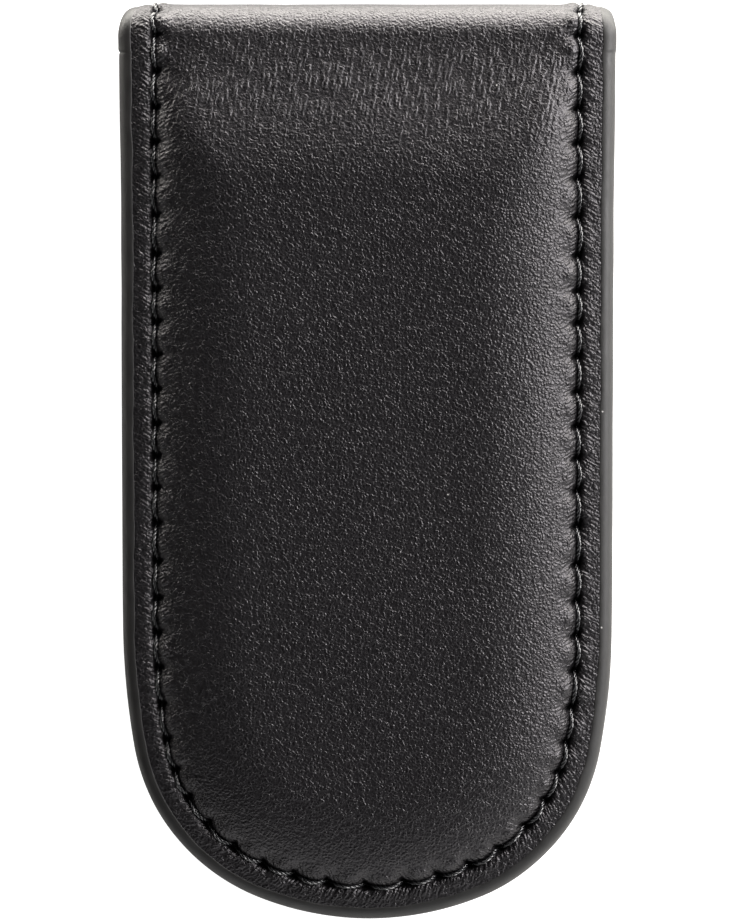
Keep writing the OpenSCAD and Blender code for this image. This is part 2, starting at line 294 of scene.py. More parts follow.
def leather_shell(name, side, insets, hidden_rings, seen_height, hidden_height, columns=seam_columns):
    """A layer of the leaf, from the rim to the middle and up to the top of the fold."""
    s = columns[:, None]
    d = np.asarray(insets)[None, :]
    kept = {"points": [], "flat": [], "seam": [], "creased": [], "pulled": [], "sunk": []}
    for ring_insets, height in ((d, seen_height), (d[:, hidden_rings], hidden_height)):
        x, v = inside_outline(s, ring_insets)
        widen = fold_swell(v) * np.clip(1 - ring_insets / STITCH_INSET, 0, 1)
        x = x + np.sign(x) * widen
        d_full, s_full = np.broadcast_arrays(ring_insets, s)
        kept["points"].append(folded(x, v, height(x, v, d_full, s_full), side).reshape(-1, 3))
        apart = np.full_like(x, LEAVES_APART * side)
        kept["flat"].append(np.stack([x, v, apart], axis=-1).reshape(-1, 3))
        fanned_s = s_full + 0.5 * np.abs(d_full - STITCH_INSET)
        kept["seam"].append(np.stack([fanned_s, d_full, apart], axis=-1).reshape(-1, 3))
        kept["creased"].append(creased_share(v, d_full).ravel())
        kept["pulled"].append(pulled_share(d_full).ravel())
        # A mask for the painted shade in the seam's valley and needle holes.
        kept["sunk"].append(sunk_share(d_full, s_full).ravel())
    joined = {key: np.concatenate(values) for key, values in kept.items()}
    faces = shell_faces(len(columns), d.shape[1], list(hidden_rings))
    vectors = {key: joined[key] for key in ("flat", "seam")}
    masks = {key: joined[key] for key in ("creased", "pulled", "sunk")}
    return mesh_object(name, joined["points"], faces, vectors, masks)


# %% [markdown]
# ## The rim and the fold
#
# At the edge the glued layers are sanded round, so their ends lie on a half ellipse. At the fold the
# stiffening board stops, the lining climbs away from its neighbour and goes round a small hollow, and the
# edge swells a little because the layers squeeze out there.

# %% Rim shape
EDGE_ROUND = 0.75
BORDER_SLOPE = 0.26
BORDER_FROM = 2.4
BORDER_RUN = 1.6
FOLD_SWELL = 0.15
SLOW_SWELL = 0.09
TOP_NARROWING = 0.30


def lining_base(v):
    """Height of the lining's inner face along the clip."""
    return lining_h + (hollow_r - lining_h) * ease((v - board_end_v) / (fold_v - board_end_v))


def fold_swell(v):
    """How far the sides stand out: more and more towards the fold, and less again over its top."""
    slow = SLOW_SWELL * ease((v - 18) / 14)
    sudden = (FOLD_SWELL - SLOW_SWELL) * ease((v - board_end_v) / 0.3 + 0.5)
    over_top = TOP_NARROWING * ease((v - fold_v) / fold_run)
    return slow + sudden - over_top


def edge_drop(d):
    """How far, as a share of the rim's half height, the rounded edge has fallen at inset d."""
    across = np.clip((EDGE_ROUND + PAINT_T - d) / EDGE_ROUND, 0, 1)
    return 1 - np.sqrt(np.clip(1 - across**2, 0, 1))


def rim_half(v):
    """Half the thickness of the glued layers at the rim."""
    return (rim_h - lining_base(v)) / 2


def border_drop(d):
    """The seam presses the layers together, so the border outside it slopes down to the edge."""
    return BORDER_SLOPE * np.clip((BORDER_FROM - d) / BORDER_RUN, 0, 1.5) ** 1.3


# %% [markdown]
# ## The stitches' rhythm
#
# Stitches are never quite even, so a clock counts them along the seam and runs a little fast and a little
# slow. A needle hole is where the clock stands at a half. Leather and thread read the same clock.

# %% Stitch clock
HOLE_DEPTH = 0.75


def stitch_clock(s):
    turn = 2 * np.pi * s / seam_length
    return s / stitch_pitch + 0.11 * np.sin(5 * turn) + 0.05 * np.sin(13 * turn)


def stitch_phase(s):
    """Distance along the seam to the nearest needle hole, in millimetres."""
    return (np.mod(stitch_clock(s), 1) - 0.5) * stitch_pitch


def seam_inset(s):
    """The seam's own line: pulled towards the pad at each hole, and bowed outwards between holes."""
    return STITCH_INSET - 0.09 * np.cos(2 * np.pi * stitch_clock(s))


def needle_holes(d, s, seed):
    """Depth of the needle holes, 0 to 1. Each is a slanting slit that is wider at its inner end."""
    number = np.floor(stitch_clock(s))
    shake = 0.5 * np.sin(number * 12.9898 + seed)
    across = d - seam_inset(s) + 0.04 * np.sin(number * 7.13 + seed)
    along = stitch_phase(s) + 0.05 * shake + 0.30 * across
    wide = 0.34 + 0.18 * np.clip(-across / 0.3, -1, 1)
    return np.exp(-np.abs(along / wide) ** 3) * bell((across - 0.10) / 0.34) * (0.9 + 0.2 * shake)


def sunk_share(d, s):
    """How deep a point lies in the seam, 0 to 1. The leathers get painted shade there: a darker colour and
    less shine.
    """
    valley = 0.7 * bell((d - seam_inset(s) - 0.04) / 0.13)
    return np.clip(np.maximum(valley, 1.5 * needle_holes(d, s, 3.0)), 0, 1)


def creased_share(v, d):
    """How much bending wrinkles the leather, 0 to 1: most just before the fold, and not in the border."""
    return bell((v - fold_v + 3.5) / 4.5) * ease((d - 2.6) / 1.5)


def pulled_share(d):
    """How much the stitches wrinkle it: most beside the seam, and more outside the seam than inside."""
    outside = 1 + 0.35 * ease((STITCH_INSET - d) / 0.4)
    return outside * bell((d - STITCH_INSET - 0.1) / 1.35)


# %% [markdown]
# ## The cover
#
# The cover is one piece of soft grain leather, pulled over a foam pad and sewn down all round. Its crown
# could come from a cloth simulation, but the seam is what makes it look real, and a simulation fine
# enough to show a half-millimetre needle hole takes minutes. So the crown is a formula: steep beside the
# stitches, soft next to the fold. The stitching then pulls it down at each hole and lets it puff up
# between the holes.

# %% Cover height
PAD_FOOT = 2.8
PAD_SHOULDER = 7.6
FULLER = 4.3
FULLEST_V = 27.6
PAD_PAST_BEND = 2.2
PAD_START_LENGTH = 13.5
PUFF = 0.19
OUTER_PUFF = 0.06
SEAM_DIP = 0.10
SEAM_GROOVE = 0.16
HOLE_PULL = 0.09
UNEVEN_CROWN = 0.06
PLEATS = 0.05
BORDER_PLEATS = 0.045
FOLD_RIPPLES = 0.03
pad_rise = crown_h - rim_h


def crown(v, d):
    """The pad's height above the rim, from 0 to 1."""
    shoulder = PAD_SHOULDER - FULLER * bell((v - FULLEST_V) / 5.0)
    outside = np.clip(1 - (d - PAD_FOOT) / shoulder, 0, 1)
    beside_stitches = (1 - outside**2.1) ** 0.8
    next_to_fold = ease((fold_v + PAD_PAST_BEND - v) / PAD_START_LENGTH)
    return beside_stitches * next_to_fold


def cover_height(x, v, d, s):
    """The crown, then the seam's dip and puffs, then the unevenness of real leather."""
    puff = np.cos(2 * np.pi * stitch_clock(s))
    number = np.floor(stitch_clock(s) + 0.5)
    tension = 0.8 + 0.25 * np.sin(number * 5.7)
    h = rim_h - rim_half(v) * edge_drop(d) - border_drop(d) + pad_rise * crown(v, d)
    from_seam = d - seam_inset(s)
    h += PUFF * tension * puff * bell((from_seam - 0.62) / 0.5) * (from_seam > -0.3)
    h += OUTER_PUFF * tension * puff * bell((from_seam + 0.55) / 0.4)
    h -= SEAM_DIP * bell(from_seam / 0.42) + SEAM_GROOVE * bell(from_seam / 0.14)
    h -= HOLE_PULL * (1 - puff) * bell(from_seam / 0.3)
    h -= HOLE_DEPTH * needle_holes(d, s, 3.0)
    inner = ease((d - 1.0) / 1.5)
    h += inner * (0.022 * soft_noise(x, v, 5.5, 11) + 0.012 * soft_noise(x, v, 2.2, 12))
    h += inner * UNEVEN_CROWN * crown(v, d) * (soft_noise(x, v, 12, 13) - 1.5)
    pleats = soft_noise(s + 0.35 * from_seam * np.sin(2 * np.pi * stitch_clock(s)), 0.3 * d, 0.5, 15)
    h += PLEATS * bell((from_seam - 0.7) / 0.75) * pleats
    h += BORDER_PLEATS * bell((from_seam + 0.6) / 0.5) * soft_noise(s - 0.6 * d, 0.5 * d, 0.4, 16)
    near_fold = bell((v - fold_v + 2.5) / 4.0) * inner
    h += near_fold * FOLD_RIPPLES * soft_noise(x * 1.4 - v * 0.3, v * 0.5, 1.5, 14)
    return h


def cover_underside(x, v, d, s):
    lifted = cover_h + np.clip(pad_rise * crown(v, d - 0.4) - 0.05, 0, None)
    return np.minimum(lifted, crown_h - cover_t)


edge_insets = PAINT_T + EDGE_ROUND * (1 - np.cos(np.radians([20, 35, 50, 65, 80, 90])))
border_insets = [1.15, 1.35, 1.55, 1.75, 1.95, 2.12]
seam_insets = list(np.arange(2.26, 3.2, 0.085))
slope_insets = [3.3, 3.42, 3.56, 3.7, 3.86, 4.04, 4.24, *np.arange(4.48, 9.4, 0.36)]
middle_insets = [9.9, 10.6, 11.6, 12.8, 14.2, 15.8, 17.4, 19.0]
cover_insets = [*edge_insets, *border_insets, *seam_insets, *slope_insets, *middle_insets]
last_ring = len(cover_insets) - 1
hidden_cover_rings = [0, 5, 11, 17, 22, 28, 34, 40, 44, last_ring]

covers = {leaf: leather_shell(f"{leaf}_cover_leather", side, cover_insets, hidden_cover_rings,
                              cover_height, cover_underside) for leaf, side in SIDES}

# %% [markdown]
# ## The lining
#
# The lining is what the notes touch. It is thinner leather, flat on its board, with the lock stitch's
# lower thread sunk in a shallow row of dimples. Round the fold it makes the small hollow.

# %% Lining
def lining_height(x, v, d, s):
    base = lining_base(v)
    rounded = base + rim_half(v) * edge_drop(d)
    dimples = 0.10 * bell((d - STITCH_INSET) / 0.4) + 0.3 * needle_holes(d, s, 8.0)
    calm = 0.02 * soft_noise(x, v, 6.0, 21) * ease((d - 1.2) / 1.5) * (v < board_end_v)
    return rounded + dimples + np.abs(calm)


def lining_back(x, v, d, s):
    return np.minimum(lining_base(v) + lining_t, fold_lining_r) + 0 * d


lining_insets = [*edge_insets, 1.3, 1.7, *np.arange(2.0, 3.4, 0.16), 4.0, 5.5, 8.0, 11.0, 15.0, half_width]
hidden_lining_rings = [0, 5, 8, 13, 17, 19, len(lining_insets) - 1]
linings = {leaf: leather_shell(f"{leaf}_lining_leather", side, lining_insets, hidden_lining_rings,
                               lining_height, lining_back) for leaf, side in SIDES}

# %% [markdown]
# ## What is inside
#
# Nobody sees the inside, but a reader who opens the model should find what a maker puts there: a foam pad
# that gives the crown its shape, plated magnets with eased edges, and tape glued over the bend.

# %% Foam
FOAM_INSET = 3.9
FOAM_STOPS_SHORT = 3.2
FOAM_CLEARANCE = 0.02
foam_end_v = fold_v - FOAM_STOPS_SHORT
tray_end_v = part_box("front_tray")[1][1] / MM
tray_inset = half_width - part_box("front_tray")[1][0] / MM
foam_from = fold_v + fold_run - foam_end_v
inside_foam = (seam_columns >= foam_from) & (seam_columns <= seam_length - foam_from)
foam_columns = seam_columns[inside_foam][::4]
foam_columns = np.concatenate([foam_columns[foam_columns < seam_length / 2], [seam_length / 2]])
foam_columns = np.concatenate([foam_columns, seam_length - foam_columns[-2::-1]])


def foam_top(x, v, d, s):
    return cover_underside(x, v, d, s) - FOAM_CLEARANCE


def foam_bottom(x, v, d, s):
    over_tray = ease((d - tray_inset + 0.3) / 0.2) * ease((tray_end_v + 0.3 - v) / 0.2)
    return cover_h + FOAM_CLEARANCE / 2 + (tray_top_h - cover_h + FOAM_CLEARANCE) * over_tray


foam_insets = [FOAM_INSET, 4.3, 4.8, 5.4, tray_inset - 0.3, tray_inset - 0.1, 7.0, 8.0, 9.5, 12.0, half_width]
foam_pads = {}
for leaf, side in SIDES:
    foam_pads[leaf] = leather_shell(f"{leaf}_foam_pad", side, foam_insets, range(len(foam_insets)),
                                    foam_top, foam_bottom, foam_columns)


# %% Magnets
MAGNET_BEVEL = 0.15


def plated_magnets(name, node):
    """The node's blocks again, with their edges eased."""
    mesh = bpy.data.meshes.new(name)
    build = bmesh.new()
    build.from_mesh(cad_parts[node].data)
    bmesh.ops.remove_doubles(build, verts=build.verts, dist=0.001 * MM)
    bmesh.ops.dissolve_limit(build, angle_limit=0.01, verts=build.verts, edges=build.edges)
    bmesh.ops.bevel(build, geom=build.edges[:], offset=MAGNET_BEVEL * MM, segments=3, profile=0.5,
                    affect="EDGES")
    return closed_piece(name, mesh, build, smooth=False)


magnets = {leaf: plated_magnets(f"{leaf}_plated_magnets", f"{leaf}_magnets") for leaf, _ in SIDES}


# %% Tape
def tape_strip(name, side):
    """A strip glued on the inside of the cover, from the board's end to the top of the fold."""
    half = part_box("fold_tape")[1][0] / MM
    v = np.concatenate([[board_end_v + 0.05], np.linspace(fold_v, fold_v + fold_run, 19)])
    ring_x = np.array([-half, half, half, -half])
    ring_h = np.array([fold_lining_r, fold_lining_r, cover_h, cover_h])
    x, v_full, h = np.broadcast_arrays(ring_x[None, :], v[:, None], ring_h[None, :])
    return mesh_object(name, folded(x, v_full, h, side), band_faces(*h.shape), smooth=False)


tapes = {leaf: tape_strip(f"{leaf}_tape_strip", side) for leaf, side in SIDES}

# %% [markdown]
# ## The painted edge
#
# Edge paint is brushed on in several coats and sanded. It wraps the whole rim and creeps a little onto
# both faces, with a soft, slightly wavy border. It is a closed band: a loop of points for each column.

# %% Painted edge
LIP = 0.24
PAINT_SEEDS = {"front": 31, "back": 41}


def painted_edge(name, side, seed):
    s = seam_columns[:, None]
    angles = np.radians(np.linspace(-90, 90, 15))[None, :]
    x0, v0 = inside_outline(s, np.zeros_like(s))
    half = rim_half(v0)
    middle = (rim_h + lining_base(v0)) / 2
    wave = 0.05 * soft_noise(s, 0 * s, 2.1, seed) + 0.03 * soft_noise(s, 0 * s, 0.8, seed + 1)
    thick = 0.015 * soft_noise(s, 0 * s, 3.3, seed + 2)
    lip = LIP + wave
    face_inset = EDGE_ROUND + lip
    crease = 0.06 * bell((v0 - board_end_v + 0.12) / 0.08) * (x0 < 0)
    round_inset = EDGE_ROUND * (1 - np.cos(angles)) - thick + crease
    upper = np.clip(np.sin(angles), 0, 1)
    round_height = middle + (half + 0.03) * np.sin(angles) - upper * border_drop(round_inset)
    lip_in = np.concatenate([face_inset + 0.06, face_inset, face_inset - 0.08], axis=1)
    lip_out = lip_in[:, ::-1]
    drop = np.array([[0.05, -0.01, -0.03]])
    low_lip = middle - half + drop
    high_lip = (middle + half - drop)[:, ::-1] - border_drop(lip_out)
    inner = np.radians(np.linspace(84, -84, 9))[None, :]
    inner_inset = PAINT_T + 0.05 + EDGE_ROUND * (1 - np.cos(inner)) + 0 * s
    inner_height = middle + (half - 0.08) * np.sin(inner)
    inner_height = inner_height - np.clip(np.sin(inner), 0, 1) * border_drop(inner_inset)
    inset = np.concatenate([lip_in, round_inset, lip_out, inner_inset], axis=1)
    h = np.concatenate([low_lip, round_height, high_lip, inner_height], axis=1)
    x, v = inside_outline(s, inset)
    x = x + np.sign(x) * fold_swell(v)
    return mesh_object(name, folded(x, v, h, side), band_faces(*inset.shape))


edges = {leaf: painted_edge(f"{leaf}_painted_edge", side, PAINT_SEEDS[leaf]) for leaf, side in SIDES}

# %% [markdown]
# ## Thread
#
# Sewing thread is three plies twisted together. Geometry Nodes sweep three circles along the seam while
# the curve's tilt turns them, and that gives the twist for nothing. The path itself dives at each
# needle hole, so one long thread reads as separate stitches, as it does on a real seam. `add_node` makes a
# node and fills or links its inputs, here and in the finishes.

# %% Node helpers
def fill_inputs(tree, node, inputs):
    """Gives each named input a constant, or a link from another node's output."""
    for key, value in inputs.items():
        if isinstance(value, bpy.types.NodeSocket):
            tree.links.new(value, node.inputs[key])
        else:
            node.inputs[key].default_value = value


def add_node(tree, kind, inputs=None, **settings):
    node = tree.nodes.new(kind)
    for key, value in settings.items():
        setattr(node, key, value)
    fill_inputs(tree, node, inputs or {})
    return node


def arithmetic(tree, operation, a, b=0.0, c=0.0):
    return add_node(tree, "ShaderNodeMath", {0: a, 1: b, 2: c}, operation=operation).outputs[0]


def node_group(name, inputs, outputs, kind="ShaderNodeTree"):
    tree = bpy.data.node_groups.new(name, kind)
    for label, socket_type, value in inputs:
        socket = tree.interface.new_socket(label, in_out="INPUT", socket_type=socket_type)
        if value is not None:
            socket.default_value = value
    for label, socket_type in outputs:
        tree.interface.new_socket(label, in_out="OUTPUT", socket_type=socket_type)
    return tree, tree.nodes.new("NodeGroupInput").outputs, tree.nodes.new("NodeGroupOutput").inputs


# %% Thread tree
PLY_SPREAD = 1.08
PLY_POINTS = 8


def thread_tree():
    """Plies side by side, swept along a path while the path's tilt turns them."""
    tree, given, made = node_group(
        "twisted_thread",
        [("Geometry", "NodeSocketGeometry", None), ("Ply Radius", "NodeSocketFloat", 0.0001),
         ("Step", "NodeSocketFloat", 0.00012), ("Turns Per Metre", "NodeSocketFloat", 800.0),
         ("Plies", "NodeSocketInt", 3), ("Material", "NodeSocketMaterial", None)],
        [("Geometry", "NodeSocketGeometry")], "GeometryNodeTree")

    def step(kind, inputs, **settings):
        return add_node(tree, "GeometryNode" + kind, inputs, **settings).outputs[0]

    curve = step("MeshToCurve", {"Mesh": given["Geometry"]})
    even = step("ResampleCurve", {"Curve": curve, "Length": given["Step"]}, mode="LENGTH")
    length = add_node(tree, "GeometryNodeSplineParameter").outputs["Length"]
    turns = arithmetic(tree, "MULTIPLY", length, given["Turns Per Metre"])
    tilt = arithmetic(tree, "MULTIPLY", turns, 2 * math.pi)
    twisted = step("SetCurveTilt", {"Curve": even, "Tilt": tilt})
    spread = arithmetic(tree, "MULTIPLY", given["Ply Radius"], PLY_SPREAD)
    ring = step("MeshCircle", {"Vertices": given["Plies"], "Radius": spread})
    ply = step("CurvePrimitiveCircle", {"Resolution": PLY_POINTS, "Radius": given["Ply Radius"]})
    plies = step("InstanceOnPoints", {"Points": ring, "Instance": ply})
    profile = step("RealizeInstances", {"Geometry": plies})
    swept = step("CurveToMesh", {"Curve": twisted, "Profile Curve": profile, "Fill Caps": True})
    whole = step("RealizeInstances", {"Geometry": swept})
    painted = step("SetMaterial", {"Geometry": whole, "Material": given["Material"]})
    tree.links.new(painted, made["Geometry"])
    return tree


def evaluated_piece(name, source, tree, values):
    """Runs a Geometry Nodes tree on a source object and keeps only the plain mesh that it makes."""
    modifier = source.modifiers.new(tree.name, "NODES")
    modifier.node_group = tree
    for item in tree.interface.items_tree:
        if item.in_out == "INPUT" and item.name in values:
            modifier[item.identifier] = values[item.name]
    bpy.context.view_layer.update()
    evaluated = source.evaluated_get(bpy.context.evaluated_depsgraph_get())
    mesh = bpy.data.meshes.new_from_object(evaluated)
    mesh.name = name
    bpy.data.objects.remove(source)
    build = bmesh.new()
    build.from_mesh(mesh)
    return closed_piece(name, mesh, build)


def path_object(name, points):
    mesh = bpy.data.meshes.new(name)
    mesh.from_pydata(points.tolist(), [(i, i + 1) for i in range(len(points) - 1)], [])
    return in_scene(name, mesh)


# %% Thread paths
TOP_PLY_R = 0.084
BOBBIN_PLY_R = 0.085
DIVE = 0.6
BOBBIN_DIVE = DIVE * 0.6
DIVE_LENGTH = 0.34
THREAD_BOW = 0.17
TOP_SUNK = 0.185
BOBBIN_SUNK = 0.19
STEPS_PER_STITCH = 26
THREAD_STEP = 0.11
TURNS_PER_METRE = 720.0


def thread_path(name, side, lying_height, dive, s_from, s_to):
    """The middle line of a row of stitches between two needle holes. It bows a little between holes."""
    steps = int(round((s_to - s_from) / stitch_pitch * STEPS_PER_STITCH)) + 1
    s = np.linspace(s_from, s_to, steps)
    lean = 0.05 * np.sin(np.floor(stitch_clock(s) + 0.5) * 3.7 + side)
    bow = np.cos(2 * np.pi * stitch_clock(s))
    x, v = inside_outline(s, seam_inset(s) + lean * (0.5 + 0.5 * bow))
    h = lying_height(v) + dive * bell(stitch_phase(s) / DIVE_LENGTH) - np.sign(dive) * THREAD_BOW * bow
    return path_object(name, folded(x, v, h, side))


def top_thread_height(v):
    return rim_h - TOP_SUNK + 0 * v


def bobbin_thread_height(v):
    return lining_base(v) + BOBBIN_SUNK


def thread_row(name, side, lying_height, dive, ply_r, spans, material):
    tree = bpy.data.node_groups.get("twisted_thread") or thread_tree()
    paths = [thread_path(f"{name}_path_{i}", side, lying_height, dive, *span) for i, span in enumerate(spans)]
    with bpy.context.temp_override(active_object=paths[0], selected_editable_objects=paths):
        if len(paths) > 1:
            bpy.ops.object.join()
    values = {"Ply Radius": ply_r * MM, "Step": THREAD_STEP * MM, "Turns Per Metre": TURNS_PER_METRE,
              "Plies": 3, "Material": material}
    return evaluated_piece(name, paths[0], tree, values)


# %% [markdown]
# ## Finishes
#
# Every finish is a small network of nodes. What several of them share, such as grain and dust, is a node
# group, built once. The groups read the flat coordinates that the mesh keeps, so the grain stays stuck to
# the leather when the clip opens. Shaders and their constant values stay in each material.

# %% Shader helpers
def remapped(tree, value, low, high, to_low=0.0, to_high=1.0):
    inputs = {"Value": value, "From Min": low, "From Max": high, "To Min": to_low, "To Max": to_high}
    return add_node(tree, "ShaderNodeMapRange", inputs, interpolation_type="SMOOTHSTEP").outputs[0]


# %% Leather grain, shared by cover and lining
def noise(tree, vector, scale, detail=2.0):
    inputs = {"Vector": vector, "Scale": scale, "Detail": detail}
    return add_node(tree, "ShaderNodeTexNoise", inputs).outputs[0]


def voronoi(tree, vector, scale, feature="F1"):
    cells = add_node(tree, "ShaderNodeTexVoronoi", {"Vector": vector, "Scale": scale},
                     voronoi_dimensions="2D", feature=feature)
    return cells.outputs["Distance"]


PEBBLE_DEPTH = 0.030
CREASED_LOSES = 0.015
SPECK_DEPTH = 0.010
NETWORK_DEPTH = 0.006
WRINKLE_DEPTH = 0.050
PULL_DEPTH = 0.055


def grain_group():
    """The grain's height in millimetres: pebbles, finer pebbles, faint creases, and two sorts of wrinkle.
    Creased leather has wrinkles along the clip. Pulled leather has wrinkles that point at the stitches."""
    tree, given, made = node_group(
        "leather_grain",
        [("Flat", "NodeSocketVector", None), ("Seam", "NodeSocketVector", None),
         ("Cell Size", "NodeSocketFloat", 0.36), ("Creased", "NodeSocketFloat", 0.0),
         ("Pulled", "NodeSocketFloat", 0.0)],
        [("Height", "NodeSocketFloat"), ("Valley", "NodeSocketFloat")])
    wander = add_node(tree, "ShaderNodeTexNoise", {"Vector": given["Flat"], "Scale": 1.6, "Detail": 2.0})
    centred = add_node(tree, "ShaderNodeVectorMath", {0: wander.outputs["Color"], 1: (0.5, 0.5, 0.5)},
                       operation="SUBTRACT")
    push = add_node(tree, "ShaderNodeVectorMath", {0: centred.outputs[0], "Scale": 0.35}, operation="SCALE")
    bent = add_node(tree, "ShaderNodeVectorMath", {0: given["Flat"], 1: push.outputs[0]},
                    operation="ADD").outputs[0]
    per_cell = arithmetic(tree, "DIVIDE", 1.0, given["Cell Size"])
    finer = arithmetic(tree, "MULTIPLY", per_cell, 1.7)
    across_cell = arithmetic(tree, "DIVIDE", voronoi(tree, bent, per_cell), 0.6)
    dome = arithmetic(tree, "SUBTRACT", 1.0, arithmetic(tree, "MULTIPLY", across_cell, across_cell))
    pebble = arithmetic(tree, "MAXIMUM", dome, 0.0)
    speck = remapped(tree, voronoi(tree, bent, finer), 0.0, 0.55, 1.0, 0.0)
    uneven = remapped(tree, noise(tree, bent, 2.2), 0.35, 0.65, 0.5, 1.4)
    pebble = arithmetic(tree, "MULTIPLY", pebble, uneven)
    network = remapped(tree, voronoi(tree, bent, 0.95, "DISTANCE_TO_EDGE"), 0.0, 0.10)
    long_way = add_node(tree, "ShaderNodeMapping", {"Vector": bent, "Scale": (0.36, 1.5, 1.0),
                                                     "Rotation": (0.0, 0.0, -0.24)},
                        vector_type="TEXTURE").outputs[0]
    wrinkle = remapped(tree, voronoi(tree, long_way, 1.0), 0.05, 0.55, 1.0, 0.0)
    towards_seam = add_node(tree, "ShaderNodeMapping", {"Vector": given["Seam"], "Scale": (3.6, 1.3, 1.0),
                                                         "Rotation": (0.0, 0.0, 0.15)}).outputs[0]
    pull = remapped(tree, voronoi(tree, towards_seam, 1.0), 0.0, 0.7, 1.0, 0.0)
    calmer = arithmetic(tree, "MULTIPLY_ADD", given["Creased"], -CREASED_LOSES, PEBBLE_DEPTH)
    height = arithmetic(tree, "MULTIPLY", pebble, calmer)
    height = arithmetic(tree, "MULTIPLY_ADD", speck, SPECK_DEPTH, height)
    height = arithmetic(tree, "MULTIPLY_ADD", network, NETWORK_DEPTH, height)
    patches = remapped(tree, noise(tree, given["Flat"], 0.35), 0.35, 0.65, 0.85, 1.1)
    wrinkled = arithmetic(tree, "MULTIPLY", arithmetic(tree, "MULTIPLY", wrinkle, patches), given["Creased"])
    height = arithmetic(tree, "MULTIPLY_ADD", wrinkled, WRINKLE_DEPTH, height)
    pulled = arithmetic(tree, "MULTIPLY", pull, given["Pulled"])
    height = arithmetic(tree, "MULTIPLY_ADD", pulled, PULL_DEPTH, height)
    tree.links.new(height, made["Height"])
    tree.links.new(arithmetic(tree, "SUBTRACT", 1.0, pebble), made["Valley"])
    return tree


# %% Dust, shared by everything that shows
def dust_group():
    """A few tiny pale specks: the middles of the rare cells of a Voronoi pattern that draw a high number."""
    tree, given, made = node_group(
        "dust_specks", [("Vector", "NodeSocketVector", None), ("Amount", "NodeSocketFloat", 0.03)],
        [("Mask", "NodeSocketFloat")])
    cells = add_node(tree, "ShaderNodeTexVoronoi", {"Vector": given["Vector"], "Scale": 1.1})
    draw = add_node(tree, "ShaderNodeSeparateXYZ", {0: cells.outputs["Color"]})
    chosen = arithmetic(tree, "LESS_THAN", draw.outputs[0], given["Amount"])
    near = remapped(tree, cells.outputs["Distance"], 0.04, 0.10, 1.0, 0.0)
    tree.links.new(arithmetic(tree, "MULTIPLY", chosen, near), made["Mask"])
    return tree


grain = grain_group()
dust = dust_group()


def new_material(name, **constants):
    """A material with its Principled shader, whose constant values are set on the shader's own sockets."""
    material = bpy.data.materials.new(name)
    material.use_nodes = True
    shader = material.node_tree.nodes["Principled BSDF"]
    for label, value in constants.items():
        shader.inputs[label.replace("_", " ")].default_value = value
    return material, material.node_tree, shader


def bump_into(tree, shader, height, depth_mm):
    inputs = {"Height": height, "Distance": depth_mm * MM, "Strength": 1.0}
    bump = add_node(tree, "ShaderNodeBump", inputs)
    tree.links.new(bump.outputs["Normal"], shader.inputs["Normal"])


def mixed_colours(tree, factor, a, b):
    """A Mix node set to colours, whose colour inputs are numbers 6 and 7 and whose output is number 2."""
    return add_node(tree, "ShaderNodeMix", {0: factor, 6: a, 7: b}, data_type="RGBA").outputs[2]


def with_dust(tree, tone, place, amount, pale):
    """A tone with pale specks of dust on it."""
    specks = add_node(tree, "ShaderNodeGroup", {"Vector": place, "Amount": amount}, node_tree=dust)
    return mixed_colours(tree, specks.outputs["Mask"], tone, pale)


# %% Leather
def attribute(tree, name, output="Fac"):
    return add_node(tree, "ShaderNodeAttribute", attribute_name=name).outputs[output]


def leather(name, cell, grain_depth, dark, light, rough_low, rough_high, dust_amount):
    material, tree, shader = new_material(name, Specular_Tint=(1.0, 0.965, 1.0, 1.0))
    flat = attribute(tree, "flat", "Vector")
    sunk = attribute(tree, "sunk")
    skin_inputs = {"Flat": flat, "Seam": attribute(tree, "seam", "Vector"), "Cell Size": cell,
                   "Creased": attribute(tree, "creased"), "Pulled": attribute(tree, "pulled")}
    skin = add_node(tree, "ShaderNodeGroup", skin_inputs, node_tree=grain)
    tone = mixed_colours(tree, noise(tree, flat, 0.16, 3.0), dark, light)
    dusty = with_dust(tree, tone, flat, dust_amount, (0.45, 0.44, 0.43, 1))
    # Painted shade: the seam's valley and the needle holes are painted near black, and further down their
    # shine is lowered.
    tree.links.new(mixed_colours(tree, sunk, dusty, (0.001, 0.001, 0.001, 1)), shader.inputs["Base Color"])
    valleys = arithmetic(tree, "MULTIPLY", skin.outputs["Valley"], 0.3)
    worn = arithmetic(tree, "MULTIPLY_ADD", noise(tree, flat, 0.9, 4.0), 0.2, valleys)
    tree.links.new(remapped(tree, worn, 0.0, 0.5, rough_low, rough_high), shader.inputs["Roughness"])
    shine = arithmetic(tree, "MULTIPLY_ADD", sunk, -0.45, 0.5)
    tree.links.new(shine, shader.inputs["Specular IOR Level"])
    bump_into(tree, shader, skin.outputs["Height"], grain_depth)
    return material


cover_leather = leather("cover_leather", 0.235, 1.0, (0.0018, 0.0015, 0.0019, 1), (0.0032, 0.0027, 0.0033, 1),
                        0.31, 0.42, 0.012)
lining_leather = leather("lining_leather", 0.28, 0.6, (0.010, 0.0095, 0.0095, 1), (0.016, 0.015, 0.015, 1),
                         0.46, 0.62, 0.008)


# %% Edge paint
def millimetre_place(tree):
    place = add_node(tree, "ShaderNodeTexCoord").outputs["Object"]
    return add_node(tree, "ShaderNodeMapping", {"Vector": place, "Scale": (1000, 1000, 1000)}).outputs[0]


def edge_paint():
    material, tree, shader = new_material("edge_paint", Specular_IOR_Level=0.5)
    place = millimetre_place(tree)
    coats = noise(tree, place, 0.7, 3.0)
    sanding = noise(tree, place, 6.0)
    tone = mixed_colours(tree, coats, (0.0066, 0.0063, 0.0062, 1), (0.0110, 0.0105, 0.0102, 1))
    dusty = with_dust(tree, tone, place, 0.02, (0.35, 0.34, 0.33, 1))
    tree.links.new(dusty, shader.inputs["Base Color"])
    tree.links.new(remapped(tree, coats, 0.3, 0.7, 0.46, 0.56), shader.inputs["Roughness"])
    bump_into(tree, shader, arithmetic(tree, "MULTIPLY_ADD", sanding, 0.25, coats), 0.025)
    return material


paint = edge_paint()


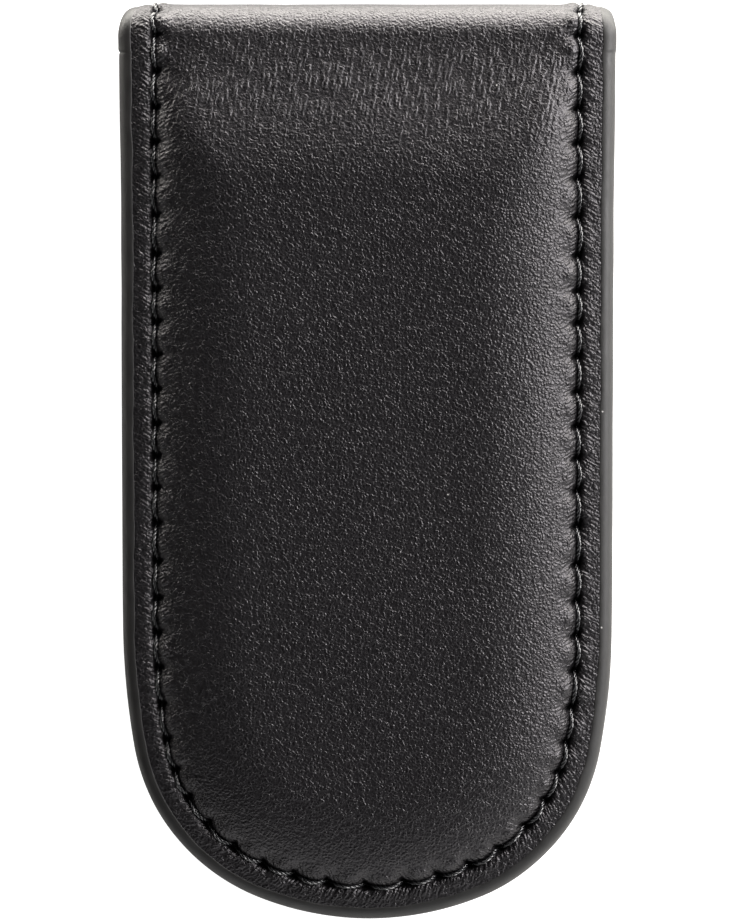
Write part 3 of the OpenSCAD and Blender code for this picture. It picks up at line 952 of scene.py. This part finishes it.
# %% Thread
def thread_finish():
    material, tree, shader = new_material("thread", Roughness=0.17, Specular_IOR_Level=1.0)
    fibres = noise(tree, millimetre_place(tree), 9.0)
    tone = mixed_colours(tree, fibres, (0.004, 0.004, 0.0045, 1), (0.020, 0.020, 0.022, 1))
    tree.links.new(tone, shader.inputs["Base Color"])
    bump_into(tree, shader, fibres, 0.03)
    return material


thread = thread_finish()


# %% Inside materials
def foam_finish():
    """Open-cell foam: a grey sponge of small bubbles, with painted shade darkening each bubble's pit."""
    material, tree, shader = new_material("pad_foam", Roughness=0.9)
    place = millimetre_place(tree)
    bubbles = add_node(tree, "ShaderNodeTexVoronoi", {"Vector": place, "Scale": 3.2}).outputs["Distance"]
    pits = remapped(tree, bubbles, 0.15, 0.55)
    # Painted shade: the pits, the bump's low points, get the darker grey.
    tree.links.new(mixed_colours(tree, pits, (0.05, 0.05, 0.055, 1), (0.16, 0.16, 0.17, 1)),
                   shader.inputs["Base Color"])
    bump_into(tree, shader, pits, 0.08)
    return material


def pressed_board(name, dark, light):
    """Pressed fibre: short flakes that lie flat, in two tones."""
    material, tree, shader = new_material(name, Roughness=0.85)
    flakes = add_node(tree, "ShaderNodeMapping", {"Vector": millimetre_place(tree), "Scale": (0.5, 1.6, 4.0),
                                                  "Rotation": (0.0, 0.0, 0.5)}).outputs[0]
    fibres = noise(tree, flakes, 2.2, 5.0)
    tree.links.new(mixed_colours(tree, remapped(tree, fibres, 0.35, 0.65), dark, light),
                   shader.inputs["Base Color"])
    bump_into(tree, shader, fibres, 0.03)
    return material


def nickel_plate():
    """Barrel-plated nickel: warm grey, with the cloudy scuffs that tumbling leaves."""
    material, tree, shader = new_material("nickel_plate", Metallic=1.0)
    place = millimetre_place(tree)
    clouds = noise(tree, place, 0.5, 4.0)
    tree.links.new(mixed_colours(tree, clouds, (0.60, 0.57, 0.52, 1), (0.70, 0.68, 0.63, 1)),
                   shader.inputs["Base Color"])
    tree.links.new(remapped(tree, clouds, 0.3, 0.7, 0.22, 0.40), shader.inputs["Roughness"])
    bump_into(tree, shader, noise(tree, place, 5.0), 0.008)
    return material


def woven_tape():
    """Nylon tape: two crossing sets of waves make the weave, and painted shade darkens the weave where it
    dips.
    """
    material, tree, shader = new_material("woven_tape", Roughness=0.75)
    place = millimetre_place(tree)
    warp = add_node(tree, "ShaderNodeTexWave", {"Vector": place, "Scale": 0.9}, bands_direction="X")
    weft = add_node(tree, "ShaderNodeTexWave", {"Vector": place, "Scale": 0.9}, bands_direction="Y")
    weave = arithmetic(tree, "MULTIPLY", warp.outputs["Fac"], weft.outputs["Fac"])
    # Painted shade: the weave is darker where its bump is low.
    tree.links.new(mixed_colours(tree, weave, (0.42, 0.41, 0.38, 1), (0.72, 0.71, 0.67, 1)),
                   shader.inputs["Base Color"])
    bump_into(tree, shader, weave, 0.05)
    return material


foam_material = foam_finish()
tray_material = pressed_board("tray_board", (0.13, 0.13, 0.12, 1), (0.24, 0.235, 0.22, 1))
board_material = pressed_board("stiffener_board", (0.16, 0.10, 0.055, 1), (0.30, 0.20, 0.12, 1))
nickel_material = nickel_plate()
tape_material = woven_tape()

# %% Sew the rows
fine_s = np.linspace(0, 2 * stitch_pitch, 400)
first_hole = float(np.interp(0.5, stitch_clock(fine_s), fine_s))
leaf_span = [(first_hole, seam_length - first_hole)]
over_fold = [(-first_hole, first_hole), (seam_length - first_hole, seam_length + first_hole)]
rows = {}
for leaf, side, spans in (("front", 1, leaf_span), ("back", -1, leaf_span), ("fold", 1, over_fold)):
    rows[leaf, "needle"] = thread_row(f"{leaf}_needle_thread", side, top_thread_height, -DIVE, TOP_PLY_R,
                                      spans, thread)
    rows[leaf, "bobbin"] = thread_row(f"{leaf}_bobbin_thread", side, bobbin_thread_height, BOBBIN_DIVE,
                                      BOBBIN_PLY_R, spans, thread)

# %% [markdown]
# ## Putting each piece on its body
#
# The leather bends only at the fold. Here each long piece, which runs from its leaf to the top of the fold,
# gets its finish, hides the frame's nodes that it stands for, and has its placement baked into its mesh.
# The foam pads, the magnets and the threads over the fold are attached to the empties of their bodies.


def bend_with_fold(piece, side):
    """Bakes a piece's placement into its mesh. It is not bent here."""
    if side > 0:
        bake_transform(piece)
    else:
        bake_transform(piece)


def finish_piece(piece, material, slot, *nodes):
    piece.data.materials.clear()
    piece.data.materials.append(material)
    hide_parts(*nodes)


def bent_piece(piece, side, smallest_r, material, slot, *nodes):
    finish_piece(piece, material, slot, *nodes)
    bend_with_fold(piece, side)


def carried_piece(piece, body, material, slot, *nodes):
    finish_piece(piece, material, slot, *nodes)
    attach(piece, body)


for leaf, side in SIDES:
    bent_piece(covers[leaf], side, cover_h, cover_leather, "cover_leather", f"{leaf}_cover", "fold_cover")
    bent_piece(linings[leaf], side, hollow_r, lining_leather, "lining_leather",
               f"{leaf}_lining", "fold_lining")
    bent_piece(edges[leaf], side, hollow_r, paint, "edge_paint", f"{leaf}_edge_paint", "fold_edge_paint")
    bent_piece(tapes[leaf], side, fold_lining_r, tape_material, "tape", f"{leaf}_tape", "fold_tape")
    bent_piece(rows[leaf, "needle"], side, cover_h, thread, "thread", f"{leaf}_top_thread")
    bent_piece(rows[leaf, "bobbin"], side, hollow_r, thread, "thread", f"{leaf}_bobbin_thread")
    carried_piece(foam_pads[leaf], f"{leaf}_leaf", foam_material, "foam", f"{leaf}_foam")
    carried_piece(magnets[leaf], f"{leaf}_leaf", nickel_material, "nickel", f"{leaf}_magnets")
    for part, material in (("tray", tray_material), ("board", board_material)):
        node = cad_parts[f"{leaf}_{part}"]
        node.data.materials.clear()
        node.data.materials.append(material)
carried_piece(rows["fold", "needle"], "fold", thread, "thread", "fold_top_thread")
carried_piece(rows["fold", "bobbin"], "fold", thread, "thread", "fold_bobbin_thread")

# %% [markdown]
# ## A plain studio
#
# Black leather only shows by what it mirrors, so the studio is mostly about what surrounds it. The table
# is white and lit from behind, so it glows most beyond the fold. The camera sees all of it burnt out to
# pure white. A wide window stands behind, a smaller one on the right, and the left of the room is dark.

# %% Table
bpy.context.scene.view_settings.view_transform = "Standard"

table_mesh = bpy.data.meshes.new("table")
table_mesh.from_pydata([(-1.5, -1.5, 0), (1.5, -1.5, 0), (1.5, 1.5, 0), (-1.5, 1.5, 0)], [], [(0, 1, 2, 3)])
table = in_scene("table", table_mesh)


def glowing_table():
    material, tree, shader = new_material("table", Base_Color=(0.6, 0.6, 0.6, 1), Roughness=0.9)
    place = add_node(tree, "ShaderNodeTexCoord").outputs["Object"]
    parts = add_node(tree, "ShaderNodeSeparateXYZ", {0: place}).outputs
    behind = remapped(tree, parts["Y"], 0.036, 0.060, 0.3, 18.0)
    glow = arithmetic(tree, "ADD", behind, remapped(tree, parts["X"], 0.0, 0.03, 0.0, 1.3))
    seen = add_node(tree, "ShaderNodeLightPath").outputs["Is Camera Ray"]
    burnt_out = add_node(tree, "ShaderNodeMix", {0: seen, 2: glow, 3: 1.0}, data_type="FLOAT").outputs[0]
    tree.links.new(burnt_out, shader.inputs["Emission Strength"])
    tint = mixed_colours(tree, seen, (1.0, 0.97, 0.90, 1), (1, 1, 1, 1))
    tree.links.new(tint, shader.inputs["Emission Color"])
    return material


table_mesh.materials.append(glowing_table())


# %% World and lights
def studio_world():
    """A room whose walls are pale low down: behind, on the right and at the front. The left is dark, and
    the ceiling is a little lighter than the walls' tops."""
    world = bpy.data.worlds.new("studio")
    world.use_nodes = True
    tree = world.node_tree
    direction = add_node(tree, "ShaderNodeTexCoord").outputs["Generated"]
    parts = add_node(tree, "ShaderNodeSeparateXYZ", {0: direction}).outputs
    towards = arithmetic(tree, "MULTIPLY_ADD", parts["X"], 0.65, parts["Y"])
    lit_side = remapped(tree, towards, -0.1, 0.95)
    nearer = arithmetic(tree, "MULTIPLY_ADD", parts["X"], -0.4, parts["Y"])
    camera_side = remapped(tree, nearer, -0.75, -0.15, 1.4, 0.0)
    sides = arithmetic(tree, "ADD", lit_side, camera_side)
    low_down = remapped(tree, parts["Z"], 0.25, 0.95, 1.0, 0.0)
    overhead = remapped(tree, parts["Z"], 0.85, 0.98, 0.015, 0.15)
    strength = arithmetic(tree, "MULTIPLY_ADD", sides, low_down, overhead)
    tree.links.new(strength, tree.nodes["Background"].inputs["Strength"])
    tree.nodes["Background"].inputs["Color"].default_value = (1, 1, 1, 1)
    return world


bpy.context.scene.world = studio_world()


def window(name, place, width, height, radiance, colour):
    """A soft rectangle of light that faces the clip. Places and sizes are in metres."""
    light = bpy.data.lights.new(name, "AREA")
    light.shape = "RECTANGLE"
    light.size = width
    light.size_y = height
    light.energy = radiance * math.pi * width * height
    light.color = colour
    lamp = in_scene(name, light)
    lamp.location = place
    lamp.rotation_euler = (-Vector(place)).to_track_quat("-Z", "Y").to_euler()


window("window_right", (0.40, 0.15, 0.26), 0.32, 0.22, 17.5, (1.0, 0.98, 0.98))
window("window_behind", (0.12, 0.42, 0.14), 0.46, 0.20, 14.5, (1.0, 0.96, 0.93))

# %% Camera
CAMERA_DISTANCE = 0.38
CAMERA_LEAN = Vector((math.tan(math.radians(2.5)), math.tan(math.radians(5.0)), 1)).normalized()
FRAMED_HEIGHT = 0.0714
AIM_X = 0.00003
AIM_Y = 0.00027
aim = Vector((AIM_X, AIM_Y, box_high[2] * 0.5 * MM))
camera_data = bpy.data.cameras.new("camera")
camera_data.sensor_width = 36
camera_data.lens = CAMERA_DISTANCE / FRAMED_HEIGHT * camera_data.sensor_width
camera = in_scene("camera", camera_data)
camera.location = aim + CAMERA_LEAN * CAMERA_DISTANCE
camera_right = Vector((0, 1, 0)).cross(CAMERA_LEAN).normalized()
camera_up = CAMERA_LEAN.cross(camera_right)
camera.rotation_euler = Matrix((camera_right, camera_up, CAMERA_LEAN)).transposed().to_euler()
bpy.context.scene.camera = camera
